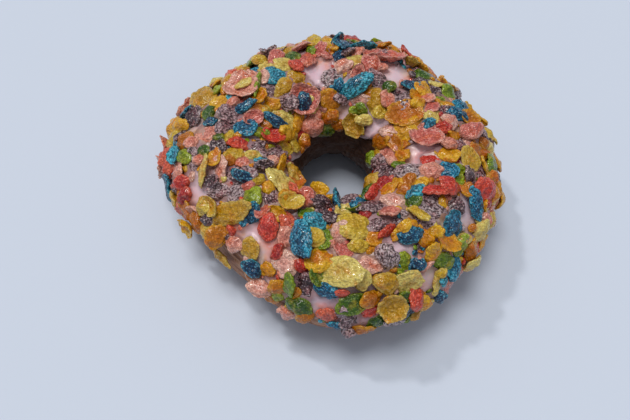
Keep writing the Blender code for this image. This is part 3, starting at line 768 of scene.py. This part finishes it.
def cereal_material(name, settings, glaze_colour):
    """Crisp rice cereal: deep and with painted shade in its pits, sugary pale with a painted highlight on its
    blisters, painted shade in its middle and a painted highlight at its rim, with painted shade and glaze at
    its foot.
    """
    material, graph, shader, _ = shader_graph(f"{name}_crisp")
    deep, usual, light, stain = CEREAL_TONES[name]
    own_place = graph.attribute("own_place", "Vector")
    tone = graph.attribute("tone")
    blister = graph.attribute("blister")
    glazed_and_shaded = graph.attribute("glazed_and_shaded")
    lengthwise = graph.vector("MULTIPLY", own_place, (0.8, 1.0, 1.0))
    speck = graph.noise(lengthwise, 1500.0)
    patch = graph.noise(own_place, 240.0)
    cells = graph.cells(lengthwise, 1 / settings.grain_width, 0.2)
    grain = graph.math("SUBTRACT", 1.0, cells, use_clamp=True)
    body = graph.blend(graph.span(tone, -1.0, 0.0), deep, usual)
    body = graph.blend(graph.span(tone, 0.0, 1.0), body, light)
    # Painted shade in a flake's middle and a painted highlight at its rim.
    rim = graph.plus(graph.attribute("rim"), graph.times(patch, 0.3))
    body = graph.blend(graph.span(rim, 0.25, 0.75, 0.45, 0.0), body, deep)
    body = graph.blend(graph.span(rim, 0.75, 1.15, 0.0, 0.5), body, light)
    body = graph.blend(graph.span(patch, 0.50, 0.68, 0.0, 0.7), body, stain)
    # The pits get painted shade; the crowns get sugar and a painted highlight.
    pit_shade = graph.blend(1.0, graph.blend(0.6, body, deep), settings.pit_shade, "MULTIPLY")
    sugared_lit_crown = graph.blend(settings.sugar_and_highlight, graph.blend(0.7, body, light), graph.blend(0.35, light, SUGAR_COLOUR))
    relief = graph.plus(graph.times(blister, 0.25), graph.times(grain, 0.35))
    relief = graph.plus(relief, graph.times(speck, 0.55))
    grain_with_shade_and_highlight = graph.blend(graph.span(relief, 0.46, 0.59), pit_shade, body)
    grain_with_shade_and_highlight = graph.blend(graph.span(relief, 0.60, 0.72), grain_with_shade_and_highlight, sugared_lit_crown)
    colour = graph.blend(GRAININESS[name], body, grain_with_shade_and_highlight)
    # Painted shade at the flake's foot, where it meets the glaze.
    foot = graph.span(glazed_and_shaded, 0.2, 0.9, 0.0, 0.85)
    colour = graph.blend(foot, colour, graph.blend(1.0, colour, FOOT_SHADE, "MULTIPLY"))
    ragged = graph.plus(glazed_and_shaded, graph.times(graph.minus(grain, 0.5), 0.5))
    coated = graph.span(ragged, 0.8, 1.1, 0.0, 0.35)
    folds = graph.plus(relief, graph.times(graph.noise(own_place, 640.0), 1.5))
    graph.fill(shader, {
        "Base Color": graph.blend(coated, colour, glaze_colour),
        "Roughness": graph.span(relief, 0.45, 0.75, 0.16, 0.32),
        "Subsurface Weight": 0.22,
        "Subsurface Radius": (1.1 * MM, 0.8 * MM, 0.5 * MM),
        "Subsurface Scale": 1.0,
        "Specular IOR Level": 0.35,
        "Coat Weight": 0.4,
        "Coat Roughness": 0.08,
        "Normal": graph.bump(folds, (0.42 + 0.38 * GRAININESS[name]) * MM),
    })
    return material


def scattered_globes(g, points):
    """A globe on each point, coarser with more of the point's steps, which keeps its own directions."""
    globes = g.node("GeometryNodeJoinGeometry")
    for steps in GLOBE_STEPS:
        globe = g.add("GeometryNodeMeshIcoSphere", 1.0, steps)
        place = g.node("GeometryNodeInputPosition").outputs[0]
        single = g.add("GeometryNodeGeometryToInstance", g.stored(globe, "direction", "FLOAT_VECTOR", place))
        g.put(globes.inputs["Geometry"], single)
    scatter = g.node("GeometryNodeInstanceOnPoints", {
        "Points": points,
        "Instance": globes.outputs["Geometry"],
        "Pick Instance": True,
        "Instance Index": g.named("steps", "INT"),
    })
    return g.add("GeometryNodeRealizeInstances", scatter.outputs["Instances"])


def flake_shaped(g, globes, given):
    """The globes as flakes: ragged, uneven in thickness, waved and curled, and turned and put in place."""
    seed = g.named("seed", "FLOAT")
    half_x, half_y, half_z = g.parts(g.named("half_size", "FLOAT_VECTOR"))
    x, y, z = g.parts(g.named("direction", "FLOAT_VECTOR"))
    level = g.math("MAXIMUM", g.math("SQRT", g.plus(g.times(x, x), g.times(y, y))), 1e-4)
    compass = g.combine(g.math("DIVIDE", x, level), g.math("DIVIDE", y, level), 0.0)
    lobes = g.minus(g.noise(compass, 1.1, 0.0, seed), 0.5)
    notches = g.minus(g.noise(compass, 3.2, 1.0, seed), 0.5)
    ragged = g.plus(lobes, g.times(notches, 0.45))
    ragged = g.plus(g.times(ragged, given["Edge Raggedness"]), 1.0)
    reach = g.times(g.math("POWER", level, FLAKE_ROUND_POWER), ragged)
    east, north, _ = g.parts(compass)
    own_x = g.times(half_x, reach, east)
    own_y = g.times(half_y, reach, north)
    plan = g.combine(own_x, own_y, 0.0)
    body = g.times(g.math("SIGN", z), g.math("POWER", g.math("ABSOLUTE", z), FLAKE_BOX_POWER))
    plump = g.plus(g.times(g.noise(plan, 420.0, 1.0, seed), 0.9), 0.55)
    rim = g.minus(1.0, g.times(level, level, given["Rim Thinness"]))
    body = g.times(body, half_z, g.times(plump, rim))
    wave = g.minus(g.noise(plan, 330.0, 1.0, g.plus(seed, 31.0)), 0.5)
    wave = g.times(wave, 2.0, given["Waviness"])
    curl = g.times(g.named("curl", "FLOAT"), g.times(reach, reach))
    own = g.combine(own_x, own_y, g.plus(body, g.plus(wave, curl)))
    turned = g.add("FunctionNodeRotateVector", own, g.named("turned", "QUATERNION"))
    spread = g.combine(seed, g.times(seed, 0.37), g.times(seed, -0.61))
    own_place = g.vector("ADD", own, g.vector("SCALE", spread, 0.05))
    kept = g.stored(globes, "own_place", "FLOAT_VECTOR", own_place)
    return g.node("GeometryNodeSetPosition", {
        "Geometry": g.stored(kept, "rim", "FLOAT", level),
        "Position": g.vector("ADD", turned, g.named("centre", "FLOAT_VECTOR")),
    }).outputs["Geometry"]


def blistered(g, flakes, given):
    """The flakes with their skin raised in blisters."""
    own_place = g.named("own_place", "FLOAT_VECTOR")
    bubble = g.minus(0.5, g.cells(own_place, g.math("DIVIDE", 1.0, given["Blister Width"]), 0.35))
    lump = g.minus(g.noise(own_place, 850.0, 3.0), 0.5)
    relief = g.plus(g.times(bubble, 0.5), g.times(lump, 2.0))
    blister = g.math("ADD", g.times(relief, 0.7), 0.4, use_clamp=True)
    push = g.times(relief, given["Blister Height"])
    return g.node("GeometryNodeSetPosition", {
        "Geometry": g.stored(flakes, "blister", "FLOAT", blister),
        "Offset": g.vector("SCALE", g.node("GeometryNodeInputNormal").outputs[0], push),
    }).outputs["Geometry"]


def flake_tree():
    """Puffed flakes on the points of a mesh, each with the size, turn, curl and seed that its point holds."""
    tree = bpy.data.node_groups.new("puffed_flakes", "GeometryNodeTree")
    face = tree.interface
    face.new_socket("Geometry", in_out="OUTPUT", socket_type="NodeSocketGeometry")
    face.new_socket("Geometry", in_out="INPUT", socket_type="NodeSocketGeometry")
    for name in FLAKE_INPUTS:
        face.new_socket(name, in_out="INPUT", socket_type="NodeSocketFloat")
    face.new_socket("Material", in_out="INPUT", socket_type="NodeSocketMaterial")
    g = Graph(tree)
    given = g.node("NodeGroupInput").outputs
    flakes = blistered(g, flake_shaped(g, scattered_globes(g, given["Geometry"]), given), given)
    whole = g.add("GeometryNodeRealizeInstances", flakes)
    finish = g.node("GeometryNodeSetMaterial", {"Geometry": whole, "Material": given["Material"]})
    g.node("NodeGroupOutput", {"Geometry": finish.outputs["Geometry"]})
    return tree


def set_input(modifier, name, value):
    """Sets one of a Geometry Nodes modifier's inputs by its socket's identifier."""
    sockets = modifier.node_group.interface.items_tree
    modifier[next(s.identifier for s in sockets if s.name == name and s.in_out == "INPUT")] = value


def applied(piece):
    """The evaluated mesh of an object, which is then removed."""
    graph = bpy.context.evaluated_depsgraph_get()
    mesh = bpy.data.meshes.new_from_object(piece.evaluated_get(graph))
    bpy.data.objects.remove(piece)
    return mesh


def flake_points(name, flakes):
    """A mesh of one point for each flake, which holds all that its form and tone need."""
    places = [seated(flake) for flake in flakes]
    mesh = bpy.data.meshes.new(name)
    mesh.from_pydata([tuple(centre) for centre, _ in places], [], [])
    halves = [(f.length / 2, f.width / 2, f.thickness / 2) for f in flakes]
    shifts = [((f.seed >> 10) % 1000 / 1000 - 0.5) * TONE_JITTER for f in flakes]
    store(mesh, "centre", [tuple(centre + RING_MIDDLE) for centre, _ in places], "FLOAT_VECTOR")
    store(mesh, "turned", [tuple(axes.to_quaternion()) for _, axes in places], "QUATERNION")
    store(mesh, "half_size", halves, "FLOAT_VECTOR")
    store(mesh, "curl", [f.curl for f in flakes])
    store(mesh, "seed", [f.seed % 1000 * SEED_STEP for f in flakes])
    store(mesh, "tone", [TONE_LEVEL[f.tone] + shift for f, shift in zip(flakes, shifts)])
    steps = mesh.attributes.new("steps", "INT", "POINT")
    sizes = [(f.length + f.width) / 2 for f in flakes]
    steps.data.foreach_set("value", [sum(size < limit for limit in COARSER_BELOW) for size in sizes])
    return bpy.data.objects.new(name, mesh)


def colour_setting(name, description, default):
    return bpy.props.FloatVectorProperty(
        name=name, description=description, default=default, subtype="COLOR", size=3
    )


def float_setting(name, description, default, **kind):
    return bpy.props.FloatProperty(name=name, description=description, default=default, **kind)


def length_setting(name, description, default):
    return float_setting(name, description, default, unit="LENGTH")


def share_setting(name, description, default):
    return float_setting(name, description, default, subtype="FACTOR")


class DoughSettings(bpy.types.PropertyGroup):
    relief: length_setting("Relief", "Height of the crust's folds", 1.0 * MM)
    crust: colour_setting("Crust", "Usual colour of the crust", (0.34, 0.14, 0.07))
    crust_dark: colour_setting("Dark crust", "Colour of its folds", (0.12, 0.040, 0.018))
    # Colour of the crust in the hole: baked, and with painted shade.
    crust_baked_and_shaded: colour_setting("Baked and shaded crust", "Colour in the hole", (0.055, 0.022, 0.012))
    crust_pale: colour_setting("Pale crust", "Colour of its ridges", (0.52, 0.29, 0.18))
    smear: colour_setting("Smear", "Colour of thin glaze on the crust", (0.55, 0.36, 0.36))


class GlazeSettings(bpy.types.PropertyGroup):
    glaze: colour_setting("Glaze", "Usual colour of the glaze", (0.85, 0.65, 0.74))
    glaze_deep: colour_setting("Deep glaze", "Colour of the glaze's deeper clouds", (0.77, 0.55, 0.65))
    lumps: length_setting("Lumps", "How uneven the glaze's thickness is", 0.7 * MM)
    cling: length_setting("Cling", "How far the glaze climbs what is pressed into it", 0.9 * MM)


class CerealSettings(bpy.types.PropertyGroup):
    waviness: length_setting("Waviness", "How far a flake's body waves", 1.2 * MM)
    blister_height: length_setting("Blister height", "How far the blisters stand out", 0.34 * MM)
    blister_width: length_setting("Blister width", "How wide the blisters are", 1.0 * MM)
    edge_raggedness: share_setting("Edge raggedness", "How uneven a flake's outline is", 0.55)
    rim_thinness: share_setting("Rim thinness", "How much thinner a flake is at its rim", 0.48)
    grain_width: length_setting("Grain width", "How wide the sugar grains are", 0.56 * MM)
    # Sugar and a painted highlight on the grains' crowns.
    sugar_and_highlight: share_setting("Sugar and highlight", "How pale the grains' crowns are", 0.42)
    # Painted shade in the gaps between the grains.
    pit_shade: colour_setting("Pit shade", "How dark the gaps between the grains are", (0.34, 0.29, 0.27))


class StageSettings(bpy.types.PropertyGroup):
    floor: colour_setting("Floor", "Colour of the floor", (0.66, 0.73, 0.87))
    key_strength: float_setting("Key light", "Strength of the key light in watts per square metre", 1.32)
    glint_strength: float_setting("Glint light", "Strength of the small light in the same unit", 0.66)
    key_width: float_setting("Key width", "How wide the key light is", math.radians(24), subtype="ANGLE")
    sky: float_setting("Sky", "Strength of the light from all sides", 0.34)


class DOUGHNUT_OT_fry_dough(bpy.types.Operator):
    """Makes the fried ring with its creased crust"""

    bl_idname = "doughnut.fry_dough"
    bl_label = "Fry Dough"

    clock_steps: bpy.props.IntProperty(name="Steps round", description="Points round the ring", default=360)
    across_steps: bpy.props.IntProperty(name="Steps across", description="Points round the tube", default=130)

    def execute(self, context):
        settings = context.scene.doughnut_dough
        clock, across = np.meshgrid(
            np.linspace(0, math.tau, self.clock_steps, endpoint=False),
            np.linspace(-math.pi / 2, 3 * math.pi / 2, self.across_steps, endpoint=False),
            indexing="ij",
        )
        points, _, _, normal = ring_frames(clock, across)
        outside, inside = glaze_edges(clock)
        covered = np.clip((across - outside) / COVER_FADE, 0, 1)
        covered = covered * np.clip((inside - across) / COVER_FADE, 0, 1)
        folds = noise_at(points, *CRUST_BULGES)
        for height, stretch, *noise_kind in CRUST_FOLDS:
            folds = folds + height * noise_at(stretched(clock, across, stretch), *noise_kind)
        clear = np.clip(points[..., 2] / CRUST_CLEAR_HEIGHT, 0, 1) * (1 - covered)
        points = points + normal * (settings.relief * folds * clear)[..., None]
        points[..., 2] = np.maximum(points[..., 2], 0.0)
        mesh = closed_mesh("fried_ring", points)
        store(mesh, "along", stretched(clock, across, STREAK_STRETCH), "FLOAT_VECTOR")
        near = np.minimum(np.abs(across - outside), np.abs(across - inside))
        smear = np.exp(-near / SMEAR_REACH) * (points[..., 2] > SMEAR_FLOOR)
        store(mesh, "smear", smear * (across < math.pi / 2))
        # How far the crust faces into the hole, for its baked colour and painted shade.
        inward = (-np.cos(across) - BAKED_SHADED_FROM) / BAKED_SHADED_FADE
        store(mesh, "baked_and_shaded", np.clip(inward, 0, 1) * BAKED_SHADED_MOST)
        piece = new_piece("fried_ring", mesh, dough_material(settings))
        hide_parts("dough")
        return {"FINISHED"}


class DOUGHNUT_OT_press_cereal(bpy.types.Operator):
    """Makes the crisp cereal flakes, one piece for each colour"""

    bl_idname = "doughnut.press_cereal"
    bl_label = "Press Cereal"

    def execute(self, context):
        settings = context.scene.doughnut_cereal
        glaze_colour = context.scene.doughnut_glaze.glaze
        tree = flake_tree()
        flakes = laid_flakes()
        for colour in CEREAL_TONES:
            points = flake_points(f"{colour}_points", [flake for flake in flakes if flake.colour == colour])
            context.scene.collection.objects.link(points)
            puff = points.modifiers.new("puffed", "NODES")
            puff.node_group = tree
            for name, setting in FLAKE_INPUTS.items():
                set_input(puff, name, getattr(settings, setting))
            set_input(puff, "Material", cereal_material(colour, settings, glaze_colour))
            mesh = applied(points)
            skin = np.empty(len(mesh.vertices) * 3, np.float32)
            mesh.vertices.foreach_get("co", skin)
            height = height_over_dough(skin.reshape(-1, 3) - np.array(RING_MIDDLE))
            # How low each point stands: for the glaze's coat and the painted shade at the foot.
            store(mesh, "glazed_and_shaded", np.clip(1 - (height - GLAZE_TOP) / FOOT_HEIGHT, 0, 1))
            piece = new_piece(f"cereal_{colour}", mesh)
        bpy.data.node_groups.remove(tree)
        return {"FINISHED"}


class DOUGHNUT_OT_pour_glaze(bpy.types.Operator):
    """Makes the glaze, which climbs a little up each flake that is pressed into it"""

    bl_idname = "doughnut.pour_glaze"
    bl_label = "Pour Glaze"

    clock_steps: bpy.props.IntProperty(name="Steps round", description="Points round the ring", default=400)
    across_steps: bpy.props.IntProperty(name="Steps across", description="Points over the tube", default=100)

    def execute(self, context):
        settings = context.scene.doughnut_glaze
        around = np.linspace(0, math.tau, self.clock_steps, endpoint=False)
        outside, inside = glaze_edges(around)
        share = np.linspace(0, 1, self.across_steps)
        clock = np.repeat(around[:, None], self.across_steps, axis=1)
        across = outside[:, None] + (inside - outside)[:, None] * share
        points, _, _, normal = ring_frames(clock, across)
        lip = np.minimum(share, 1 - share) * GLAZE_GIRTH / LIP_WIDTH
        profile = np.sqrt(1 - (1 - np.clip(lip, 0, 1)) ** 2)
        lumps = sum(noise_at(points, *kind) for kind in GLAZE_LUMPS)
        thick = GLAZE_THICKNESS + settings.lumps * lumps
        gap = GLAZE_GAP * np.minimum(1, profile + LIP_GAP_SHARE)
        outer = points + normal * (gap + thick * profile)[..., None]
        near, stain = self.neighbours(outer + np.array(RING_MIDDLE))
        outer = outer + normal * (settings.cling * np.exp(-((near / CLING_REACH) ** 2)) * profile)[..., None]
        inner = (points + normal * (LIP_GAP_SHARE * GLAZE_GAP))[:, 1:-1][:, ::-1]
        mesh = closed_mesh("glaze", np.concatenate([outer, inner], axis=1))
        lining = np.zeros(inner.shape[:2] + (4,))
        store(mesh, "stain", np.concatenate([stain, lining], axis=1), "FLOAT_COLOR")
        # Painted shade for the glaze beside the flakes.
        close_shade = np.exp(-((near / CLOSE_SHADE_REACH) ** 2))
        store(mesh, "close_shade", np.concatenate([close_shade, lining[..., 0]], axis=1))
        piece = new_piece("glaze", mesh, glaze_material(settings))
        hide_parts("icing")
        return {"FINISHED"}

    def neighbours(self, outer):
        """How near the nearest flake is to each point, and the colour and strength of the dyes bled there."""
        graph = bpy.context.evaluated_depsgraph_get()
        pieces = bpy.context.scene.objects
        trees = {name: BVHTree.FromObject(pieces[f"cereal_{name}"], graph) for name in CEREAL_TONES}
        nearest = np.full(outer.shape[:2], SEARCH_REACH)
        stain = np.zeros(outer.shape[:2] + (4,))
        for row in range(outer.shape[0]):
            for column in range(outer.shape[1]):
                point = Vector(outer[row, column])
                for name, tree in trees.items():
                    distance = tree.find_nearest(point, SEARCH_REACH)[3]
                    if distance is not None:
                        nearest[row, column] = min(nearest[row, column], distance)
                        strength = BLEEDING[name] * math.exp(-((distance / STAIN_REACH) ** 2))
                        stain[row, column] += np.array((*CEREAL_TONES[name][2], 1.0)) * strength
        stain[..., :3] /= np.maximum(stain[..., 3:], 1e-6)
        stain[..., 3] = np.minimum(stain[..., 3], 1.0)
        return nearest, stain


class DOUGHNUT_OT_set_stage(bpy.types.Operator):
    """Makes the floor, the lights and the camera"""

    bl_idname = "doughnut.set_stage"
    bl_label = "Set Stage"

    def execute(self, context):
        settings = context.scene.doughnut_stage
        bpy.ops.mesh.primitive_plane_add(size=FLOOR_SIZE, location=(0, 0, 0))
        floor = context.active_object
        floor.name = "floor"
        material, graph, shader, _ = shader_graph("floor")
        graph.fill(shader, {"Base Color": (*settings.floor, 1.0), "Roughness": 0.8})
        floor.data.materials.append(material)
        self.add_light("key", KEY_WAY, settings.key_strength, settings.key_width)
        self.add_light("glint", GLINT_WAY, settings.glint_strength, GLINT_WIDTH)
        world = bpy.data.worlds.new("sky")
        context.scene.world = world
        world.use_nodes = True
        background = world.node_tree.nodes["Background"]
        background.inputs["Color"].default_value = SKY_COLOUR
        background.inputs["Strength"].default_value = settings.sky
        lens = bpy.data.cameras.new("camera")
        lens.sensor_width = SENSOR_WIDTH_MM
        lens.lens = FOCAL_LENGTH_MM
        lens.clip_start = 10 * MM
        camera = bpy.data.objects.new("camera", lens)
        context.scene.collection.objects.link(camera)
        tilt = Matrix.Rotation(CAMERA_TILT, 4, "X") @ Matrix.Rotation(CAMERA_ROLL, 4, "Z")
        camera.matrix_world = Matrix.Translation(CAMERA_PLACE + RING_MIDDLE) @ tilt
        context.scene.camera = camera
        context.scene.view_settings.view_transform = "Standard"
        return {"FINISHED"}

    def add_light(self, name, direction, strength, width):
        """A distant light that shines from one direction."""
        lamp = bpy.data.lights.new(name, "SUN")
        lamp.energy = strength
        lamp.angle = width
        lamp.color = LIGHT_COLOUR
        made = bpy.data.objects.new(name, lamp)
        bpy.context.scene.collection.objects.link(made)
        made.rotation_euler = Vector(direction).to_track_quat("Z", "Y").to_euler()


class DOUGHNUT_PT_panel(bpy.types.Panel):
    """Lists the doughnut's settings and steps"""

    bl_label = "Doughnut"
    bl_idname = "DOUGHNUT_PT_panel"
    bl_space_type = "VIEW_3D"
    bl_region_type = "UI"
    bl_category = "Doughnut"

    def draw(self, context):
        for operator, group in STEPS:
            box = self.layout.box()
            box.operator(operator)
            settings = getattr(context.scene, group)
            for name in settings.bl_rna.properties.keys():
                if name not in ("rna_type", "name"):
                    box.prop(settings, name)


STEPS = (
    ("doughnut.fry_dough", "doughnut_dough"),
    ("doughnut.press_cereal", "doughnut_cereal"),
    ("doughnut.pour_glaze", "doughnut_glaze"),
    ("doughnut.set_stage", "doughnut_stage"),
)
SETTINGS = {
    "doughnut_dough": DoughSettings,
    "doughnut_glaze": GlazeSettings,
    "doughnut_cereal": CerealSettings,
    "doughnut_stage": StageSettings,
}
CLASSES = (
    DoughSettings, GlazeSettings, CerealSettings, StageSettings,
    DOUGHNUT_OT_fry_dough, DOUGHNUT_OT_press_cereal, DOUGHNUT_OT_pour_glaze, DOUGHNUT_OT_set_stage,
    DOUGHNUT_PT_panel,
)


def register():
    for made in CLASSES:
        bpy.utils.register_class(made)
    for name, group in SETTINGS.items():
        setattr(bpy.types.Scene, name, bpy.props.PointerProperty(type=group))


def unregister():
    for name in SETTINGS:
        delattr(bpy.types.Scene, name)
    for made in reversed(CLASSES):
        bpy.utils.unregister_class(made)


def main():
    register()
    bpy.ops.doughnut.fry_dough()
    bpy.ops.doughnut.press_cereal()
    bpy.ops.doughnut.pour_glaze()
    bpy.ops.doughnut.set_stage()


if __name__ == "__main__":
    main()
